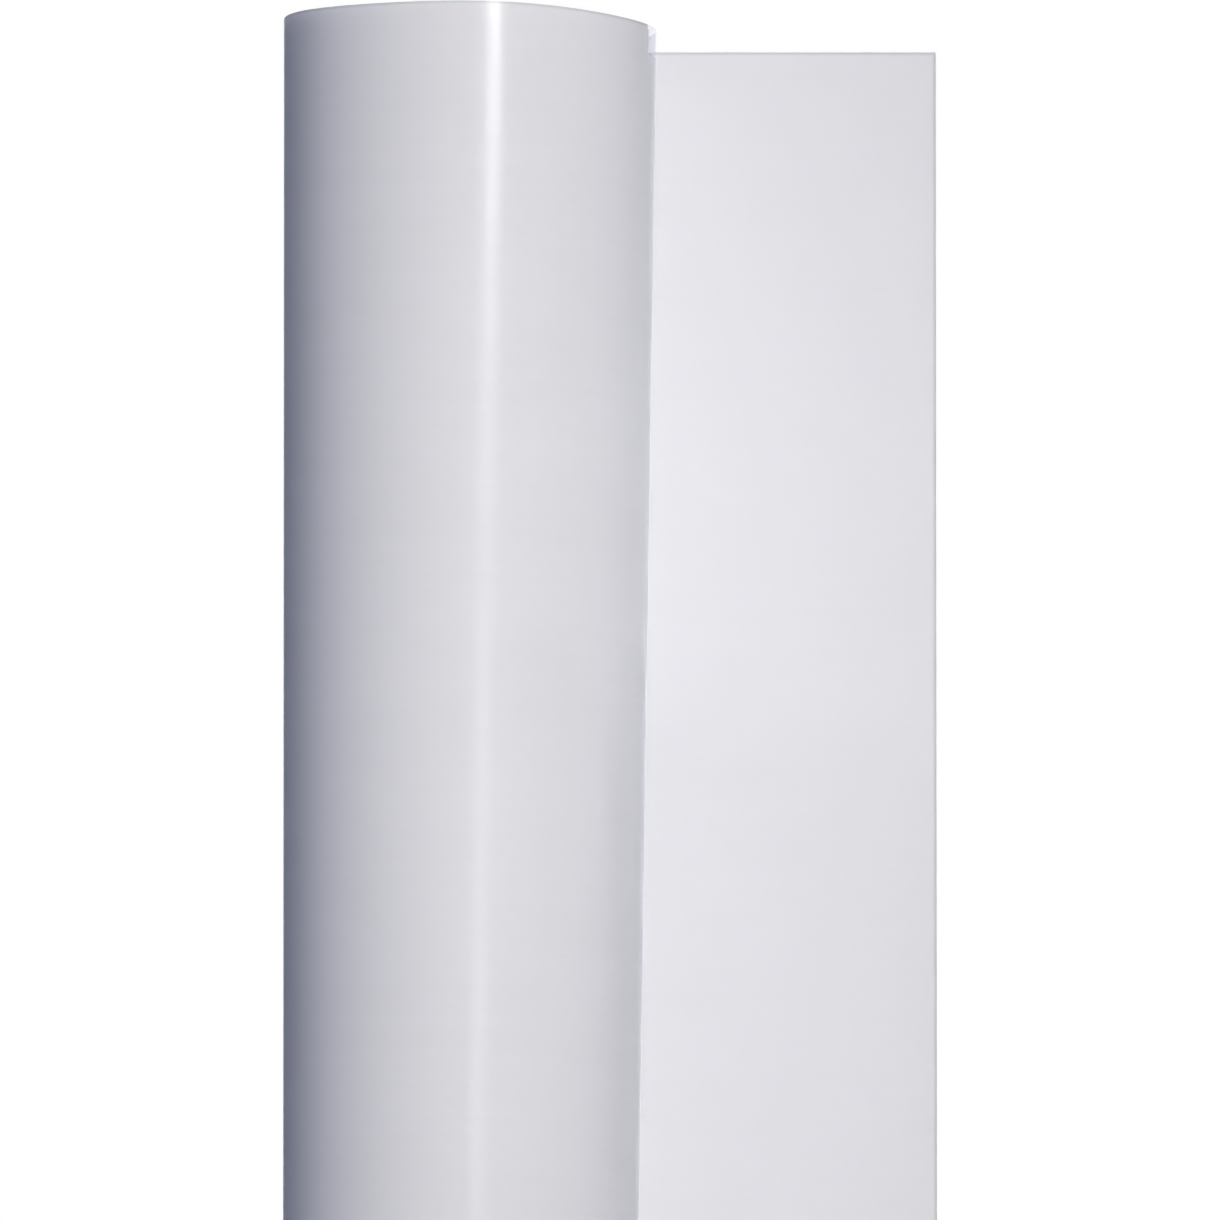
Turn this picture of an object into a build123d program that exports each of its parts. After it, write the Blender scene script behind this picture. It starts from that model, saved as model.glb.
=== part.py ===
"""Roll of seamless backdrop sheet on a cardboard core, standing on end.

The sheet is one flexible piece. It is modelled as a tight winding, two loose turns round it, and a
free end of narrow strips that stands out flat behind the roll and can be curled back onto it.
Origin: centre of the core at the end that the roll stands on. +Z runs along the core, the free end
points to +X and lies on the +Y side. Millimetres.
"""

from build123d import *
from math import atan, degrees, pi, sqrt
import os

os.makedirs("parts", exist_ok=True)

# Sheet
SHEET_WIDTH = 1372.0  # 54 in, the height of the roll when it stands
SHEET_LENGTH = 5486.0  # 18 ft
SHEET_THICKNESS = 0.25
AIR_PER_TURN = 0.01  # trapped between two turns of the tight winding

# Core tube and the tape that holds the start of the sheet on it
CORE_BORE_RADIUS = 25.4
CORE_WALL = 4.0
CORE_TO_SHEET = 0.2
TAPE_THICKNESS = 0.12
TAPE_CLEARANCE = 0.03
TAPE_ARC = 50.0  # degrees
TAPE_TAB_HEIGHT = 50.0
TAPE_TABS = 5
TAPE_END_MARGIN = 120.0  # from an end of the core to the nearest tab

# Flare: near its upper end the winding opens out
FLARE_HEIGHT = 400.0
WINDING_FLARE = 2.6
LOOSE_TURN_FLARE = 2.75  # more than the winding's, on the +X side of both loose turns

# Inner loose turn: middle of the sheet off the tight winding. Its back, left and front stand
# straight, so they clear the winding's widest end; its right side opens out with the winding.
INNER_START_STANDOFF = 2.0
INNER_LEFT_STANDOFF = 0.6
INNER_FRONT_STANDOFF = 0.55
INNER_RIGHT_STANDOFF = 1.3
SEAT_CLEARANCE = 0.3  # between its inner end and the winding that it runs into

# Outer loose turn: middle of the sheet off the inner loose turn
OUTER_LEFT_GAP = 1.3
OUTER_FRONT_GAP = 0.8
OUTER_RIGHT_GAP = 1.75
TURN_AIR = 0.35  # air at the back, where the outer turn covers its own inner end

# Free end, hinged strips that stand for one bending sheet
FREE_END_LENGTH = 108.2  # from the take-off line to the cut edge
FREE_STRIPS = 5
HINGE_GAP = 0.3
CURL_CLEARANCE = 3.6  # room kept between the curled free end and the roll

# Worked out from the sizes above
core_radius = CORE_BORE_RADIUS + CORE_WALL
winding_start = core_radius + CORE_TO_SHEET
pitch = SHEET_THICKNESS + AIR_PER_TURN
half_sheet = SHEET_THICKNESS / 2
flare_start = SHEET_WIDTH - FLARE_HEIGHT
strip_pitch = FREE_END_LENGTH / (FREE_STRIPS + 0.5)
first_hinge = strip_pitch / 2

# Middle of the sheet off the straight part of the winding, at the start, left, front and right
inner_standoffs = (
    WINDING_FLARE + INNER_START_STANDOFF,
    WINDING_FLARE + INNER_LEFT_STANDOFF,
    WINDING_FLARE + INNER_FRONT_STANDOFF,
    INNER_RIGHT_STANDOFF,
)
outer_gaps = (SHEET_THICKNESS + TURN_AIR, OUTER_LEFT_GAP, OUTER_FRONT_GAP, OUTER_RIGHT_GAP)
outer_standoffs = tuple(inner + gap for inner, gap in zip(inner_standoffs, outer_gaps))

# The tight winding fills the ring round the core with what the free end and the loose turns leave
# of the sheet. The loose turns' own length grows with the winding, so its radius is a root.
loose_turns = 2
mean_standoff = sum(inner_standoffs + outer_standoffs) / 8
loose_share = loose_turns * pitch
wound_area = (SHEET_LENGTH - FREE_END_LENGTH) * pitch / pi - 2 * loose_share * mean_standoff
winding_radius = sqrt(winding_start**2 + wound_area + loose_share**2) - loose_share
take_off = winding_radius + outer_standoffs[0]


def flare_share(height):
    """0 up to where the flare starts, then evenly to 1 at the upper end."""
    return max(0.0, height - flare_start) / FLARE_HEIGHT


def turn_radii(height, outer):
    """Middle of the sheet at the start, left, front, right and inner end of one loose turn."""
    standoffs = outer_standoffs if outer else inner_standoffs
    start, left, front, right = (winding_radius + standoff for standoff in standoffs)
    winding = winding_radius + WINDING_FLARE * flare_share(height)
    if outer:
        inner_end = winding_radius + inner_standoffs[0]
    else:
        inner_end = winding + SEAT_CLEARANCE + half_sheet
    right += (WINDING_FLARE + LOOSE_TURN_FLARE) * flare_share(height)
    return start, left, front, right, inner_end


def turn_face(height, outer):
    """Section of one loose turn: four quarter ellipses outside, the same four inside, two ends."""
    start, left, front, right, inner_end = turn_radii(height, outer)
    quarters = [(left, start, 90), (left, front, 180), (right, front, 270), (right, inner_end, 0)]
    run = first_hinge - HINGE_GAP / 2 if outer else 0
    with BuildSketch(Plane.XY.offset(height)) as section:
        with BuildLine():
            for side in (half_sheet, -half_sheet):
                for across, along, angle in quarters:
                    EllipticalCenterArc((0, 0), across + side, along + side, angle, arc_size=90)
                if outer:
                    Line((0, start + side), (run, start + side))
            Line((run, start + half_sheet), (run, start - half_sheet))
            Line((0, inner_end + half_sheet), (0, inner_end - half_sheet))
        make_face()
    return section.sketch


def loose_turn(outer):
    """One loose turn as a shell through its sections at the floor, the flare and the upper end."""
    sections = [turn_face(height, outer) for height in (0, flare_start, SHEET_WIDTH)]
    with BuildPart() as turn:
        loft(sections, ruled=True)
    return turn.part


# Cardboard core tube
with BuildPart() as core_tube:
    with BuildSketch():
        Circle(core_radius)
        Circle(CORE_BORE_RADIUS, mode=Mode.SUBTRACT)
    extrude(amount=SHEET_WIDTH)
core_tube.part.label = "core_tube"
export_step(core_tube.part, "parts/core_tube.step")

# Tape tabs on the core, under the first turn
tape_inside = core_radius + TAPE_CLEARANCE
tape_outside = tape_inside + TAPE_THICKNESS
tab_spacing = (SHEET_WIDTH - 2 * TAPE_END_MARGIN - TAPE_TAB_HEIGHT) / (TAPE_TABS - 1)
with BuildPart() as core_start_tape:
    for tab in range(TAPE_TABS):
        with BuildSketch(Plane.XY.offset(TAPE_END_MARGIN + tab * tab_spacing)):
            with BuildLine():
                outer_arc = CenterArc((0, 0), tape_outside, 90 - TAPE_ARC / 2, TAPE_ARC)
                inner_arc = CenterArc((0, 0), tape_inside, 90 - TAPE_ARC / 2, TAPE_ARC)
                Line(outer_arc @ 0, inner_arc @ 0)
                Line(outer_arc @ 1, inner_arc @ 1)
            make_face()
        extrude(amount=TAPE_TAB_HEIGHT)
core_start_tape.part.label = "core_start_tape"
export_step(core_start_tape.part, "parts/core_start_tape.step")

# Tight winding
with BuildPart() as wound_sheet:
    with BuildSketch(Plane.XZ):
        with BuildLine():
            Polyline(
                (winding_start, 0),
                (winding_radius, 0),
                (winding_radius, flare_start),
                (winding_radius + WINDING_FLARE, SHEET_WIDTH),
                (winding_start, SHEET_WIDTH),
                close=True,
            )
        make_face()
    revolve(axis=Axis.Z)
wound_sheet.part.label = "wound_sheet"
export_step(wound_sheet.part, "parts/wound_sheet.step")

# The two loose turns
for name, outer in (("loose_turn_inner", False), ("loose_turn_outer", True)):
    turn = loose_turn(outer)
    turn.label = name
    export_step(turn, f"parts/{name}.step")

# Free end, strip by strip from the roll to the cut edge
for number in range(1, FREE_STRIPS + 1):
    middle = first_hinge + (number - 0.5) * strip_pitch
    with BuildPart() as strip:
        with BuildSketch():
            with Locations((middle, take_off)):
                Rectangle(strip_pitch - HINGE_GAP, SHEET_THICKNESS)
        extrude(amount=SHEET_WIDTH)
    strip.part.label = f"free_end_{number}"
    export_step(strip.part, f"parts/free_end_{number}.step")

# The curl that wraps the free end round the roll, a polygon about a circle that clears the flare
widest = turn_radii(SHEET_WIDTH, True)[3]
curl_radius = widest + CURL_CLEARANCE
curl_per_hinge = 2 * degrees(atan(strip_pitch / 2 / curl_radius))
print(f"tight winding {winding_radius:.3f} mm, take-off {take_off:.3f} mm, widest {widest:.3f} mm")
print(f"first hinge {first_hinge:.3f} mm, strip pitch {strip_pitch:.3f} mm")
print(f"curl onto the roll {curl_per_hinge:.2f} degrees a hinge")
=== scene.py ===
import bpy
import numpy as np
from math import cos, pi, radians, sin
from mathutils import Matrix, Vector


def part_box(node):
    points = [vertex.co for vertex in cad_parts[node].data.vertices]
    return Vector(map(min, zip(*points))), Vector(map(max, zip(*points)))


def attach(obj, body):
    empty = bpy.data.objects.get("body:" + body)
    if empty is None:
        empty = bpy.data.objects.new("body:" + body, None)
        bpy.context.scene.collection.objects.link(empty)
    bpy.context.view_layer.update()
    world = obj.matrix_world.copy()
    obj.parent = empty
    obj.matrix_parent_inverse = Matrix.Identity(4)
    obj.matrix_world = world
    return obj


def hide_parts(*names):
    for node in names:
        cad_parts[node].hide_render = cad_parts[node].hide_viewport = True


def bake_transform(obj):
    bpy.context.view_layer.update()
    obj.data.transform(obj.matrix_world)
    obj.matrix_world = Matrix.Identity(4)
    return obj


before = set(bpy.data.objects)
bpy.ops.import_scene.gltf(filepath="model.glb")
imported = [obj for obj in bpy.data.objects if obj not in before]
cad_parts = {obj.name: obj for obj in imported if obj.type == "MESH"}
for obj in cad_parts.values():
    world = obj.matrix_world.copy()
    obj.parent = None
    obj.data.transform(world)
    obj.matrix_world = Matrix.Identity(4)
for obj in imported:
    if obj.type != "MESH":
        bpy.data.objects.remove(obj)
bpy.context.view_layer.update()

# ---------------------------------------------------------------- sizes, metres
# The sheet and how it is wound
SHEET_LENGTH = 5.486
CUT_EDGE_BEYOND = 0.00035  # past the last strip, to where the sheet is cut
TURN_PITCH = 0.00026
CORE_TO_SHEET = 0.0002
WINDING_FLARE = 0.0026
RIGHT_FLARE = 0.00535
LEFT_FLARE = 0.00014
FLARE_HEIGHT = 0.4
FLARE_SOFTNESS = 0.15  # share of the flare's height over which it starts
LOOSE_TURNS = 2
WOUND_TURN_STEPS = 84
LOOSE_TURN_STEPS = 192
FLAT_STEPS = 16
STRAIGHT_ROWS, FLARED_ROWS = 8, 32  # below the flare, and over it
WOUND_ROW_STRIDE = 4  # the hidden winding has one row in this many
SHARP_ANGLE = radians(40)

# Telescoping: how far the sheet's edges ride up, at each quarter of the two loose turns
EDGE_RISE = np.array([0.0, 3.0, 1.1, 0.2, 0.7, 1.6, 1.4, 0.3, 0.6]) / 1000
FRONT_RISE = 0.0019
FRONT_RISE_AT, FRONT_RISE_WIDTH = 2.15, 0.5  # quarter turns
EDGE_RISE_WOUND = 0.0006

# Behind, near the top, where the free end comes to lie on the outer turn
REST_DENT = 0.00045
REST_DENT_AT, REST_DENT_WIDTH = 3.70, 0.2  # quarter turns

# Where the outer turn stands alone, on the right, it is a piece of its own
CORNER_STEPS = 15
CORNER_HALF_WIDTH = 0.0109
CORNER_HEIGHT = 0.0068
CORNER_SIDE_SOFTNESS = 0.0004
CORNER_FOOT_SOFTNESS = 0.0003
CORNER_CLEARNESS = 0.86
# Blue tint of the corner: a painted glow of the light that shines through the single layer there
CORNER_PAINTED_GLOW = (0.72, 0.80, 1.0)

# Read from the frame
strip_boxes = [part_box(f"free_end_{number}") for number in range(1, 6)]
sheet_thickness = strip_boxes[0][1].y - strip_boxes[0][0].y
take_off = (strip_boxes[0][0].y + strip_boxes[0][1].y) / 2
sheet_width = strip_boxes[0][1].z
core_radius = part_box("core_tube")[1].x
strip_middles = [(low.x + high.x) / 2 for low, high in strip_boxes]
cut_edge = strip_boxes[-1][1].x + CUT_EDGE_BEYOND
winding_top_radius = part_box("wound_sheet")[1].x
outer_low, outer_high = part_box("loose_turn_outer")
inner_low, inner_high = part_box("loose_turn_inner")
half_sheet = sheet_thickness / 2
winding_radius = winding_top_radius - WINDING_FLARE
winding_start = core_radius + CORE_TO_SHEET + TURN_PITCH / 2
wound_turn_count = (winding_radius + TURN_PITCH / 2 - winding_start) / TURN_PITCH


# ---------------------------------------------------------------- shapes
def spline_through(values, start_slope, end_slope, at):
    """A cubic spline through evenly spaced knots, with both end slopes given.

    values has one row a knot, at is in knots. The knots' slopes solve the usual banded system, so
    the curve has an even curvature with no jump, and each span is its Hermite cubic.
    """
    count = len(values)
    beside = np.ones(count - 1)
    system = np.diag(np.full(count, 4.0)) + np.diag(beside, 1) + np.diag(beside, -1)
    right = np.empty_like(values)
    right[1:-1] = 3 * (values[2:] - values[:-2])
    system[0], system[-1] = np.eye(count)[0], np.eye(count)[-1]
    right[0], right[-1] = start_slope, end_slope
    slopes = np.linalg.solve(system, right)
    span = np.clip(np.floor(at).astype(int), 0, count - 2)
    t = (at - span)[:, None]
    a, b, sa, sb = values[span], values[span + 1], slopes[span], slopes[span + 1]
    rise = t * t * (3 - 2 * t)
    return a + (b - a) * rise + sa * t * (1 - t) ** 2 - sb * t * t * (1 - t)


def flare_share(height):
    """0 below the flare, then soon an even slope to 1 at the upper end: a hyperbola's branch."""
    t = np.clip((height - sheet_width + FLARE_HEIGHT) / FLARE_HEIGHT, 0, 1)
    whole = np.hypot(1, FLARE_SOFTNESS) - FLARE_SOFTNESS
    return (np.hypot(t, FLARE_SOFTNESS) - FLARE_SOFTNESS) / whole


def loose_radius(quarter_turns, height):
    """Radius of the middle of the sheet over the two loose turns.

    A spline through the radii at the back, left, front and right of each turn. Only the right
    hand radii and the inner end change with height, as the roll opens out towards its top. There
    a shallow bell-shaped dent leaves room for the free end when it lies down.
    """
    share = flare_share(height)
    steady = np.ones_like(share)
    right_floor = outer_high.x - half_sheet - RIGHT_FLARE
    inner_right_floor = inner_high.x - half_sheet - RIGHT_FLARE
    knots = np.array([
        take_off * steady,
        -outer_low.x - half_sheet + LEFT_FLARE * share,
        (-outer_low.y - half_sheet) * steady,
        right_floor + RIGHT_FLARE * share,
        (inner_high.y - half_sheet) * steady,
        (-inner_low.x - half_sheet) * steady,
        (-inner_low.y - half_sheet) * steady,
        inner_right_floor + RIGHT_FLARE * share,
        winding_radius + TURN_PITCH / 2 + WINDING_FLARE * share,
    ])
    dent = REST_DENT * np.exp(-((quarter_turns - REST_DENT_AT) / REST_DENT_WIDTH) ** 2)
    return spline_through(knots, 0.0, -TURN_PITCH / 4, quarter_turns) - dent[:, None] * share


def slab(name, middle, normal, along, across, close_start, close_end, curved=False):
    """A sheet of the given thickness about a grid of middle points [along, across].

    Each column of the grid becomes a closed loop: up the outer face, down the inner one. Loops
    are joined to the next. An end is closed only where the sheet is cut; elsewhere it meets the
    next stretch of the same sheet. The UV map holds the shares along and across the whole sheet.
    A curved stretch is shaded by the normals of its middle, so that it joins on without a line.
    """
    columns, rows = middle.shape[:2]
    outer, inner = middle + normal * half_sheet, middle - normal * half_sheet
    loop = np.concatenate([outer, inner[:, ::-1]], axis=1)
    around = 2 * rows
    index = np.arange(columns * around).reshape(columns, around)
    a, b = index[:-1], index[1:]
    quads = np.stack([a, b, np.roll(b, -1, 1), np.roll(a, -1, 1)], -1).reshape(-1, 4)
    caps = []
    if close_start:
        caps.append(np.stack([index[0, :rows - 1], index[0, 1:rows],
                              index[0, around - 2:rows - 1:-1], index[0, around - 1:rows:-1]], -1))
    if close_end:
        caps.append(np.stack([index[-1, 1:rows], index[-1, :rows - 1],
                              index[-1, around - 1:rows:-1], index[-1, around - 2:rows - 1:-1]], -1))
    faces = np.concatenate([quads, *caps])
    mesh = bpy.data.meshes.new(name)
    mesh.from_pydata(loop.reshape(-1, 3).tolist(), [], faces.tolist())
    u = np.repeat(along, around)
    v = np.tile(np.concatenate([across, across[::-1]]), columns)
    layer = mesh.uv_layers.new(name="sheet")
    corner = np.empty(len(mesh.loops), np.int32)
    mesh.loops.foreach_get("vertex_index", corner)
    layer.data.foreach_set("uv", np.stack([u[corner], v[corner]], -1).ravel().astype(np.float32))
    mesh.polygons.foreach_set("use_smooth", np.ones(len(mesh.polygons), bool))
    mesh.set_sharp_from_angle(angle=SHARP_ANGLE)
    if curved:
        # The rims and the cut ends keep their own flat normals, which is what a zero vector asks for
        place = np.arange(len(corner))
        side = place // 4 % around
        on_edge = (side == rows - 1) | (side == around - 1) | (place >= 4 * len(quads))
        facing = np.concatenate([normal, -normal[:, ::-1]], axis=1).reshape(-1, 3)[corner]
        facing[on_edge] = 0
        mesh.normals_split_custom_set(facing.tolist())
    piece = bpy.data.objects.new(name, mesh)
    bpy.context.scene.collection.objects.link(piece)
    return piece


def wound_stretch(names, cuts, angles, radius, rise, heights, start_length, close_end):
    """A stretch of wound sheet: points at an angle from the back of the roll, through the left.

    Its middle is (-r sin a, r cos a, height), with r from the radius grid [angle, height]. The
    sheet's edges ride up by rise at each angle. Normals come from the grid's own differences. It
    is divided at the cuts into named pieces. Returns them and the length at each angle.
    """
    a = angles[:, None]
    z = heights[None, :] + rise[:, None]
    middle = np.stack([-radius * np.sin(a), radius * np.cos(a), z + 0 * radius], -1)
    along_step = np.gradient(middle, axis=0)
    up_step = np.gradient(middle, axis=1)
    normal = np.cross(along_step, up_step)
    normal /= np.linalg.norm(normal, axis=-1, keepdims=True)
    steps = np.linalg.norm(np.diff(middle[:, 0], axis=0), axis=-1)
    length = start_length + np.concatenate([[0], np.cumsum(steps)])
    across = heights / sheet_width
    pieces = [
        slab(name, middle[low:high + 1], normal[low:high + 1], length[low:high + 1] / SHEET_LENGTH,
             across, False, close_end, curved=True)
        for name, low, high in zip(names, cuts, cuts[1:])
    ]
    return pieces, length


def flat_stretch(name, start, end, close_end):
    """A stretch of the flat free end: middle points (x, take-off y, height) from start to end in x."""
    columns = np.linspace(start, end, FLAT_STEPS + 1)
    x, z = np.meshgrid(columns, row_heights, indexing="ij")
    middle = np.stack([x, np.full_like(x, take_off), z], -1)
    normal = np.broadcast_to(np.array([0.0, 1.0, 0.0]), middle.shape)
    return slab(name, middle[::-1], normal, (cut_edge - columns[::-1]) / SHEET_LENGTH,
                row_heights / sheet_width, close_end, False)


# Rows are close together where the roll opens out, and at its two ends
row_heights = np.unique(np.concatenate([
    np.linspace(0, sheet_width - FLARE_HEIGHT, STRAIGHT_ROWS + 1),
    np.linspace(sheet_width - FLARE_HEIGHT, sheet_width, FLARED_ROWS + 1),
]))

# Loose turns: from the take-off line at the back round to the tight winding
quarters = np.linspace(0, 4 * LOOSE_TURNS, LOOSE_TURNS * LOOSE_TURN_STEPS + 1)
rise = spline_through(EDGE_RISE[:, None], 0.0, 0.0, quarters)[:, 0]
rise += FRONT_RISE * np.exp(-((quarters - FRONT_RISE_AT) / FRONT_RISE_WIDTH) ** 2)
radius = loose_radius(quarters, row_heights)
on_the_right = 3 * LOOSE_TURN_STEPS // 4
cuts = [0, on_the_right - CORNER_STEPS, on_the_right + CORNER_STEPS, len(quarters) - 1]
(outer_turn, right_corner, loose_turns), lengths = wound_stretch(
    ("outer_turn", "right_corner", "loose_turns"), cuts, quarters * pi / 2, radius, rise, row_heights,
    cut_edge, False)
right_hand_length = lengths[on_the_right]
wound_from = lengths[-1]

# Tight winding: an even spiral from there in to the core
# Its edge is uneven from turn to turn, and starts at the loose turns' own height
turns_in = np.arange(int(wound_turn_count * WOUND_TURN_STEPS) + 1) / WOUND_TURN_STEPS
wound_rows = row_heights[::WOUND_ROW_STRIDE]
end_radius = winding_radius + TURN_PITCH / 2 + WINDING_FLARE * flare_share(wound_rows)
radius = end_radius + (winding_start - end_radius) * (turns_in / wound_turn_count)[:, None]
settled = np.exp(-turns_in / 2)
rise = EDGE_RISE_WOUND * (1 + 0.5 * np.sin(turns_in * 5.1) + 0.35 * np.sin(turns_in * 12.7 + 1))
rise = EDGE_RISE[-1] * settled + rise * (1 - settled)
(wound_turns,), lengths = wound_stretch(
    ("wound_turns",), [0, len(turns_in) - 1], 2 * pi * (LOOSE_TURNS + turns_in), radius, rise, wound_rows,
    wound_from, True)

# Free end: each stretch runs from the middle of one strip to the middle of the next
ends = [0.0, *strip_middles, cut_edge]
free_names = ["free_end_root"] + [f"free_end_bend_{number}" for number in range(1, 5)] + ["free_end_edge"]
free_pieces = [
    flat_stretch(name, start, end, name == "free_end_edge")
    for name, start, end in zip(free_names, ends, ends[1:])
]


# ---------------------------------------------------------------- materials
class Sockets:
    """A shader value that adds its own Math nodes when it is used in an expression."""

    def __init__(self, maker, socket):
        self.maker, self.socket = maker, socket

    def _math(self, operation, *values):
        return self.maker.add("ShaderNodeMath", {"operation": operation}, *values)

    def __add__(self, other):
        return self._math("ADD", self, other)

    def __sub__(self, other):
        return self._math("SUBTRACT", self, other)

    def __rsub__(self, other):
        return self._math("SUBTRACT", other, self)

    def __mul__(self, other):
        return self._math("MULTIPLY", self, other)

    def __truediv__(self, other):
        return self._math("DIVIDE", self, other)

    __radd__, __rmul__ = __add__, __mul__

    def abs(self):
        return self._math("ABSOLUTE", self)

    def fract(self):
        return self._math("FRACT", self)

    def least(self, other):
        return self._math("MINIMUM", self, other)

    def most(self, other):
        return self._math("MAXIMUM", self, other)

    def angle_to(self, other):
        return self._math("ARCTAN2", self, other)

    def length_with(self, other):
        return self._math("SQRT", self * self + other * other)

    def step(self, low, high, start=0.0, end=1.0):
        """Runs smoothly from start to end while this value goes from low to high."""
        return self.maker.add(
            "ShaderNodeMapRange", {"interpolation_type": "SMOOTHSTEP"}, self, low, high, start, end)


class NodeMaker:
    """Adds nodes to a tree in plain steps, and wires them up."""

    def __init__(self, tree):
        self.tree = tree
        self.tree.nodes.clear()

    def add(self, kind, settings=None, *inputs, output=0, **named):
        """One node: its settings first, then its sockets' values or links, by place or by name."""
        node = self.tree.nodes.new(kind)
        for key, value in (settings or {}).items():
            setattr(node, key, value)
        for key, value in [*enumerate(inputs), *named.items()]:
            target = node.inputs[key.replace("_", " ") if isinstance(key, str) else key]
            if isinstance(value, Sockets):
                self.tree.links.new(value.socket, target)
            else:
                target.default_value = value
        return Sockets(self, node.outputs[output])

    def split(self, vector):
        """The three numbers of a vector."""
        first = self.add("ShaderNodeSeparateXYZ", None, vector)
        return [Sockets(self, socket) for socket in first.socket.node.outputs]

    def vector(self, x, y, z):
        """A vector of three numbers."""
        return self.add("ShaderNodeCombineXYZ", None, x, y, z)

    def noise(self, where, detail, roughness):
        """Cloudy noise from 0 to 1 over the coordinates given."""
        return self.add("ShaderNodeTexNoise", {"normalize": True}, Vector=where, Scale=1.0,
                        Detail=detail, Roughness=roughness)

    def blend_colours(self, share, first, second):
        """The first colour at share 0, the second at 1."""
        node = self.add("ShaderNodeMix", {"data_type": "RGBA"}, share).socket.node
        for key, value in ((6, first), (7, second)):
            if isinstance(value, Sockets):
                self.tree.links.new(value.socket, node.inputs[key])
            else:
                node.inputs[key].default_value = (*value, 1.0)
        return Sockets(self, node.outputs[2])

    def bump(self, height, distance, strength=1.0):
        """A normal that is tilted by a height map."""
        return self.add("ShaderNodeBump", None, Strength=strength, Distance=distance, Height=height)


class Material(NodeMaker):
    """A node material."""

    def __init__(self, name):
        self.material = bpy.data.materials.new(name)
        self.material.use_nodes = True
        super().__init__(self.material.node_tree)

    def finish(self, shader):
        """Wires the shader to the surface and returns the material."""
        end = self.tree.nodes.new("ShaderNodeOutputMaterial")
        self.tree.links.new(shader.socket, end.inputs["Surface"])
        return self.material


def satin_sheet(name, see_through, colour, marks=1.0, sheen=0.0, clear_at=None):
    """Satin white plastic sheet, calendered, so its faint marks run along the sheet.

    Works in metres along and across the sheet, from its UV map. A light cloudiness and thin
    calender lines vary the colour, gloss and height, with a few specks and dents. A thin band
    along the cut edges is darkened: painted shade on the rims. Where it stands alone it lets
    light through, and beside the length clear_at, in its upper corner, it is nearly clear and
    tinted blue there: a painted glow of the light that shines through the single layer.
    """
    m = Material(name)
    along, across, _ = m.split(m.add("ShaderNodeUVMap", {"uv_map": "sheet"}))
    along, across = along * SHEET_LENGTH, across * sheet_width
    lines = m.noise(m.vector(along * 9, across * 260, 0.0), 3.0, 0.6)
    clouds = m.noise(m.vector(along * 22, across * 45, 3.0), 3.0, 0.55)
    fleck = m.noise(m.vector(along * 350, across * 520, 5.0), 2.0, 0.5)
    grain = m.noise(m.vector(along * 900, across * 1500, 7.0), 2.0, 0.5)
    from_edge = across.least(sheet_width - across).least(along)
    # A thin band along the cut edges, darkened below as painted shade on the rims
    edge = from_edge.step(0.0001, 0.0009, 1.0, 0.0)
    cell = m.add("ShaderNodeTexVoronoi", {"feature": "F1"}, Scale=1.0, Randomness=1.0,
                 Vector=m.vector(along * 11, across * 11, 0.0))
    chance, _, _ = m.split(Sockets(m, cell.socket.node.outputs["Color"]))
    speck = cell.step(0.006, 0.011, 1.0, 0.0) * chance.step(0.60, 0.62)
    tone = ((lines - 0.5) * 0.09 + (clouds - 0.5) * 0.11 + (fleck - 0.5) * 0.05) * marks + 0.5
    dark = tuple(c * 0.93 for c in colour)
    base = m.blend_colours(tone, dark, tuple(min(1.0, c * 1.06) for c in colour))
    # Darkens the rims by the edge band, which is painted shade, and the specks, which are real marks
    base = m.blend_colours(edge * 0.35 + speck * 0.3, base, (0.42, 0.42, 0.44))
    rough = 0.22 + (clouds - 0.5) * 0.10 + (lines - 0.5) * 0.08 + (grain - 0.5) * 0.05
    height = (lines * 0.35 + clouds * 0.35 + fleck * 0.06) * marks + grain * 0.05 + speck * 0.4
    normal = m.bump(height, 0.00006)
    solid = 1.0
    if clear_at is not None:
        inner_half_width = CORNER_HALF_WIDTH - CORNER_SIDE_SOFTNESS
        beside = (along - clear_at).abs().step(inner_half_width, CORNER_HALF_WIDTH, 1.0, 0.0)
        above = (sheet_width - across).step(CORNER_HEIGHT - CORNER_FOOT_SOFTNESS, CORNER_HEIGHT, 1.0, 0.0)
        corner = beside * above
        # Tints the corner blue, a painted glow of the light shining through the single layer
        base = m.blend_colours(corner, base, CORNER_PAINTED_GLOW)
        solid = 1.0 - corner * CORNER_CLEARNESS
        see_through = solid * see_through
    face = m.add("ShaderNodeBsdfPrincipled", None, Base_Color=base, Roughness=rough, Alpha=solid,
                 Normal=normal, IOR=1.45, Sheen_Weight=sheen, Sheen_Roughness=0.3,
                 Sheen_Tint=(0.88, 0.93, 1.0, 1.0))
    if see_through == 0.0:
        return m.finish(face)
    glow = m.add("ShaderNodeBsdfTranslucent", None, Color=base, Normal=normal)
    through = m.add("ShaderNodeMixShader", None, see_through, face, glow)
    return m.finish(through)


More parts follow.
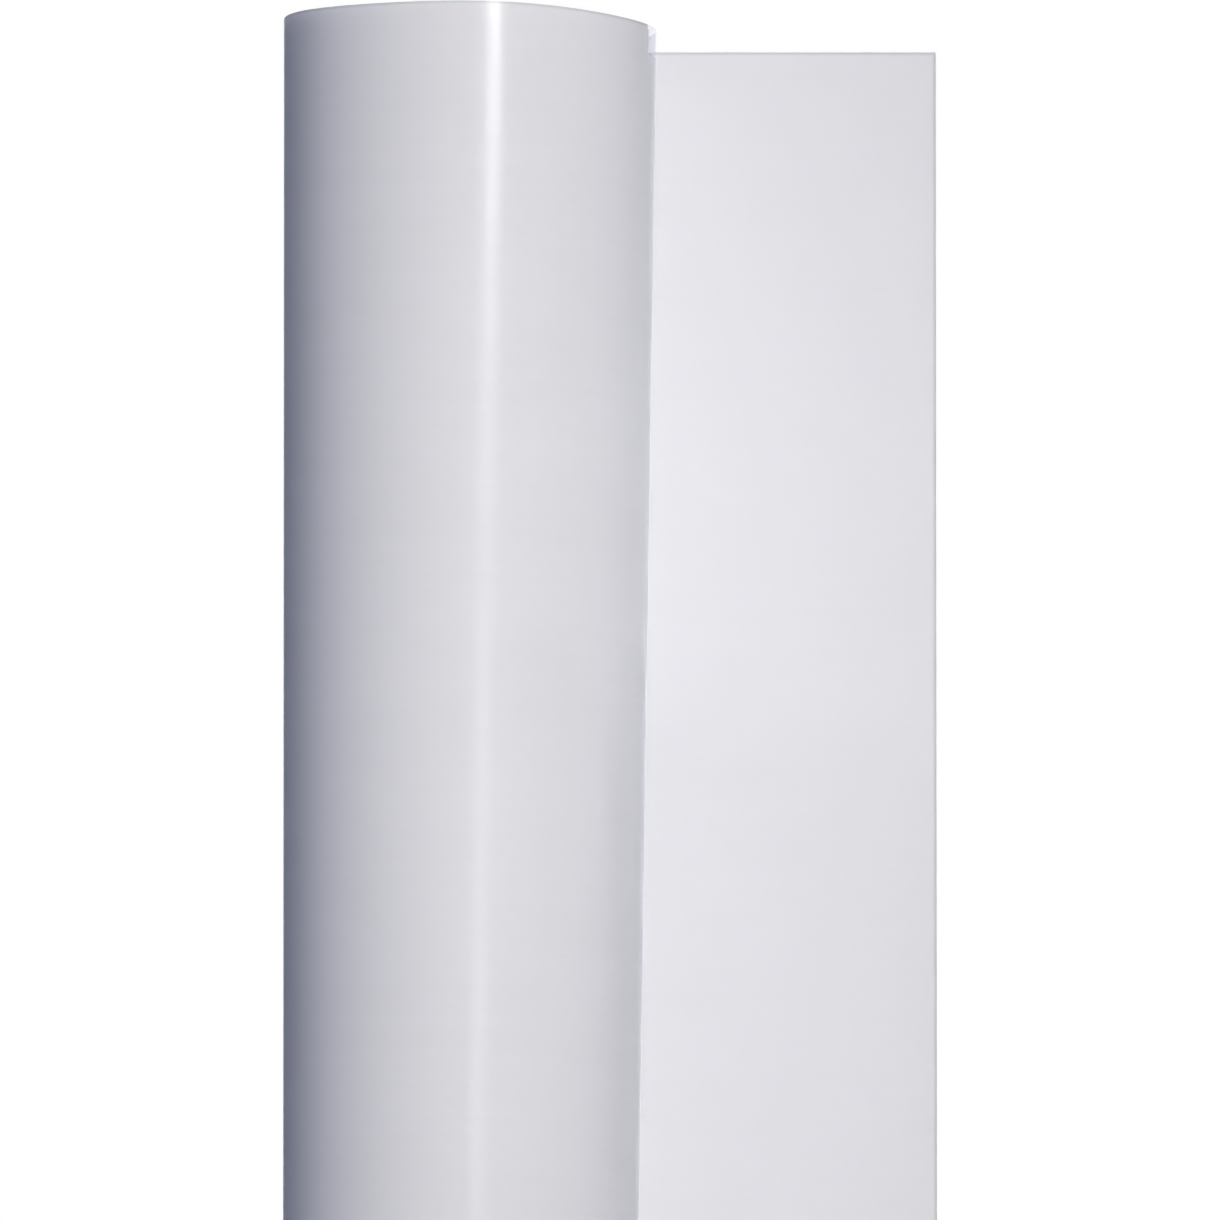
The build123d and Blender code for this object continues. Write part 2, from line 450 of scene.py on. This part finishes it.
def kraft_core():
    """Spiral-wound kraft tube: plies laid at a slope, with fibres, a seam and ply rings on its ends."""
    m = Material("kraft_core")
    x, y, z = m.split(m.add("ShaderNodeTexCoord", output="Object"))
    turn = x.angle_to(y) / (2 * pi)
    ply = (z / 0.085 + turn).fract()
    seam = (ply - 0.5).abs().step(0.485, 0.497)
    fibres = m.noise(m.vector(x * 260, y * 260, z * 2200), 4.0, 0.62)
    blotch = m.noise(m.vector(x * 30, y * 30, z * 22), 3.0, 0.5)
    flat_end = m.add("ShaderNodeNewGeometry", output="Normal")
    _, _, up = m.split(flat_end)
    radius = x.length_with(y)
    rings = (radius * 1600 + blotch * 0.6).fract()
    ring = (rings - 0.5).abs().step(0.30, 0.5) * up.abs().step(0.6, 0.9)
    base = m.blend_colours(fibres * 0.55 + blotch * 0.45, (0.40, 0.28, 0.17), (0.64, 0.49, 0.34))
    base = m.blend_colours(seam * 0.6 + ring * 0.45, base, (0.20, 0.13, 0.08))
    normal = m.bump(fibres * 0.3 - seam - ring * 0.8, 0.0003, 0.7)
    return m.finish(m.add("ShaderNodeBsdfPrincipled", None, Base_Color=base,
                          Roughness=0.78 + (fibres - 0.5) * 0.2, IOR=1.45, Normal=normal))


def cloth_tape():
    """Cream tape that holds the start of the sheet to the core, with a fine woven backing."""
    m = Material("cloth_tape")
    x, y, z = m.split(m.add("ShaderNodeTexCoord", output="Object"))
    weave = (x * 1800).fract().step(0.2, 0.5) * (z * 1500).fract().step(0.2, 0.5)
    soil = m.noise(m.vector(x * 90, y * 90, z * 90), 3.0, 0.6)
    base = m.blend_colours(soil * 0.6 + weave * 0.3, (0.70, 0.64, 0.50), (0.88, 0.84, 0.72))
    return m.finish(m.add("ShaderNodeBsdfPrincipled", None, Base_Color=base,
                          Roughness=0.52 + (soil - 0.5) * 0.2, IOR=1.45, Normal=m.bump(weave, 0.00008)))


def pale_floor(near_radius, far_radius):
    """Matte floor that the camera sees as pale, with the object's shadow, and as white far away."""
    m = Material("pale_floor")
    x, y, _ = m.split(m.add("ShaderNodeTexCoord", output="Object"))
    mottle = m.noise(m.vector(x * 3, y * 3, 0.0), 4.0, 0.5)
    away = x.length_with(y).step(near_radius, far_radius)
    seen = m.add("ShaderNodeLightPath", output="Is Camera Ray")
    base = m.blend_colours(mottle, (0.50, 0.50, 0.505), (0.53, 0.53, 0.53))
    lift = m.blend_colours(away, (0.52, 0.52, 0.52), (1.0, 1.0, 1.0))
    near = m.blend_colours(away, base, (0.0, 0.0, 0.0))
    ground = m.add("ShaderNodeBsdfPrincipled", None, Base_Color=near, Roughness=0.9,
                   Specular_IOR_Level=0.1)
    glow = m.add("ShaderNodeEmission", None, m.blend_colours(seen, (0.0, 0.0, 0.0), lift), 1.0)
    return m.finish(m.add("ShaderNodeAddShader", None, ground, glow))


def dress(piece, material):
    """Gives the whole piece one material."""
    piece.data.materials.clear()
    piece.data.materials.append(material)


SHEET_FACE = (0.88, 0.885, 0.895)
LOOSE_FACE = (0.87, 0.875, 0.885)
WOUND_FACE = (0.82, 0.825, 0.84)
SHEET_SEE_THROUGH, LOOSE_SEE_THROUGH = 0.5, 0.3
LOOSE_MARKS = 2.4
LOOSE_SHEEN = 0.45
single = satin_sheet("satin_sheet", SHEET_SEE_THROUGH, SHEET_FACE)
for piece in free_pieces:
    dress(piece, single)
loose_finish = (LOOSE_SEE_THROUGH, LOOSE_FACE, LOOSE_MARKS, LOOSE_SHEEN)
loose = satin_sheet("satin_sheet_loose", *loose_finish)
for piece in (outer_turn, loose_turns):
    dress(piece, loose)
dress(right_corner, satin_sheet("satin_sheet_corner", *loose_finish, right_hand_length))
dress(wound_turns, satin_sheet("satin_sheet_wound", 0.0, WOUND_FACE))
dress(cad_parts["core_tube"], kraft_core())
dress(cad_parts["core_start_tape"], cloth_tape())

# ---------------------------------------------------------------- joining the pieces to the bodies
for number, piece in enumerate(free_pieces[:-1]):
    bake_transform(piece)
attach(free_pieces[-1], "free_end_5")
for number, piece in enumerate(free_pieces[1:], 1):
    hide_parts(f"free_end_{number}")
for piece in (outer_turn, right_corner, loose_turns):
    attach(piece, "roll")
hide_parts("loose_turn_inner", "loose_turn_outer")
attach(wound_turns, "roll")
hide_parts("wound_sheet")

# ---------------------------------------------------------------- floor, light and camera
FLOOR_RADIUS = 9.0
PALE_RADIUS, WHITE_RADIUS = 0.8, 4.5  # the floor goes from pale to white between them
DISC_SIDES = 96


def disc(name, radius):
    """A flat disc: points (r cos a, r sin a, 0) on a ring, closed by one face."""
    angle = np.linspace(0, 2 * pi, DISC_SIDES, endpoint=False)
    ring = np.stack([radius * np.cos(angle), radius * np.sin(angle), 0 * angle], -1)
    mesh = bpy.data.meshes.new(name)
    mesh.from_pydata(ring.tolist(), [], [list(range(len(ring)))])
    piece = bpy.data.objects.new(name, mesh)
    bpy.context.scene.collection.objects.link(piece)
    return piece


floor = disc("floor", FLOOR_RADIUS)
dress(floor, pale_floor(PALE_RADIUS, WHITE_RADIUS))


def around(azimuth, distance, height):
    """A point round the roll: azimuth 0 is in front of it on -Y, 90 is on its right on +X."""
    return Vector((distance * sin(radians(azimuth)), -distance * cos(radians(azimuth)), height))


def softbox(name, azimuth, distance, height, aim, width, tall, power, spread, colour=(1, 1, 1)):
    """A rectangular lamp that faces a point."""
    lamp = bpy.data.lights.new(name, "AREA")
    lamp.shape = "RECTANGLE"
    lamp.size, lamp.size_y = width, tall
    lamp.energy = power
    lamp.spread = radians(spread)
    lamp.color = colour
    light = bpy.data.objects.new(name, lamp)
    light.location = around(azimuth, distance, height)
    light.rotation_euler = (Vector(aim) - light.location).to_track_quat("-Z", "Y").to_euler()
    bpy.context.scene.collection.objects.link(light)
    return light


# Each lamp's azimuth, distance, height, aim, width, tall, power, spread and colour
key = softbox("key", 10, 2.6, 0.9, (0.02, 0.0, 0.9), 0.30, 2.2, 2.29, 16, (1.0, 0.97, 0.99))
accent = softbox("accent", 14, 2.6, 1.25, (0.01, -0.03, 1.25), 0.25, 0.40, 0.088, 10)
left_fill = softbox("left_fill", -60, 2.6, 1.2, (0.04, 0.0, 0.9), 1.2, 2.0, 0.16, 60, (0.44, 0.59, 1.0))
cool_edge = softbox("cool_edge", -100, 2.6, 1.2, (0.0, 0.0, 0.9), 1.2, 2.0, 1.1, 60, (0.15, 0.2, 1.0))
side_accent = softbox("side_accent", 121, 2.6, 1.24, (0.045, 0.0, 1.24), 0.15, 0.15, 0.021, 6)
back = softbox("back", 115, 3.0, 1.3, (0.04, 0.0, 0.9), 1.2, 2.2, 3.0, 60, (0.87, 0.83, 1.0))
rear = softbox("rear", 190, 3.0, 1.3, (0.04, 0.0, 0.9), 1.2, 2.2, 6.0, 60, (1.0, 0.97, 0.94))
top = softbox("top", 0, 0.001, 4.4, (0.0, 0.0, 0.0), 1.2, 1.2, 15.0, 70)
for lamp in (key, accent, left_fill, cool_edge, side_accent, back, rear, top):
    lamp.visible_camera = False
    lamp.visible_glossy = False

# A narrow gridded strip makes the bright line near the upper end
strip = softbox("strip", 14, 3.0, 1.74, (0.006, -0.04, 1.44), 0.25, 0.2, 0.0225, 5)
strip.visible_camera = False
strip.visible_diffuse = False
strip.visible_transmission = False


# The white backdrop's two edges as the sheet's gloss sees them, in radians to the right of +Y
BACKDROP_LEFT = (-0.20, -0.10)
BACKDROP_RIGHT = (0.62, 0.85)
ROOM_COLOUR = (0.04, 0.05, 0.075)


def studio_world():
    """White to be seen and to shine through the sheet; a dim cool room for everything else."""
    world = bpy.data.worlds.new("studio")
    world.use_nodes = True
    maker = NodeMaker(world.node_tree)
    path = maker.add("ShaderNodeLightPath").socket.node.outputs
    camera, glossy, through = (Sockets(maker, path[name]) for name in
                               ("Is Camera Ray", "Is Glossy Ray", "Is Transmission Ray"))
    side, ahead, _ = maker.split(maker.add("ShaderNodeTexCoord", output="Generated"))
    bearing = side.angle_to(ahead)
    backdrop = bearing.step(*BACKDROP_LEFT) * bearing.step(*BACKDROP_RIGHT, 1.0, 0.0)
    seen = camera.most(through * side.step(-0.3, 0.5)).most(glossy * backdrop)
    colour = maker.blend_colours(seen, ROOM_COLOUR, (1.0, 1.0, 1.0))
    background = maker.add("ShaderNodeBackground", None, colour, 1.0)
    end = maker.tree.nodes.new("ShaderNodeOutputWorld")
    maker.tree.links.new(background.socket, end.inputs["Surface"])
    bpy.context.scene.world = world


studio_world()

CAMERA_DISTANCE = 5.5
LOOK_UP = 0.1124  # height below the rim over distance
CAMERA_X = 0.0337
AIM_HEIGHT = 1.240
LENS = 717.0
camera = bpy.data.cameras.new("camera")
camera.lens = LENS
camera.sensor_width = 36.0
view = bpy.data.objects.new("camera", camera)
view.location = (CAMERA_X, -CAMERA_DISTANCE, sheet_width - LOOK_UP * CAMERA_DISTANCE)
line_of_sight = Vector((CAMERA_X, 0.0, AIM_HEIGHT)) - view.location
view.rotation_euler = line_of_sight.to_track_quat("-Z", "Y").to_euler()
bpy.context.scene.collection.objects.link(view)
bpy.context.scene.camera = view
bpy.context.scene.view_settings.view_transform = "Standard"
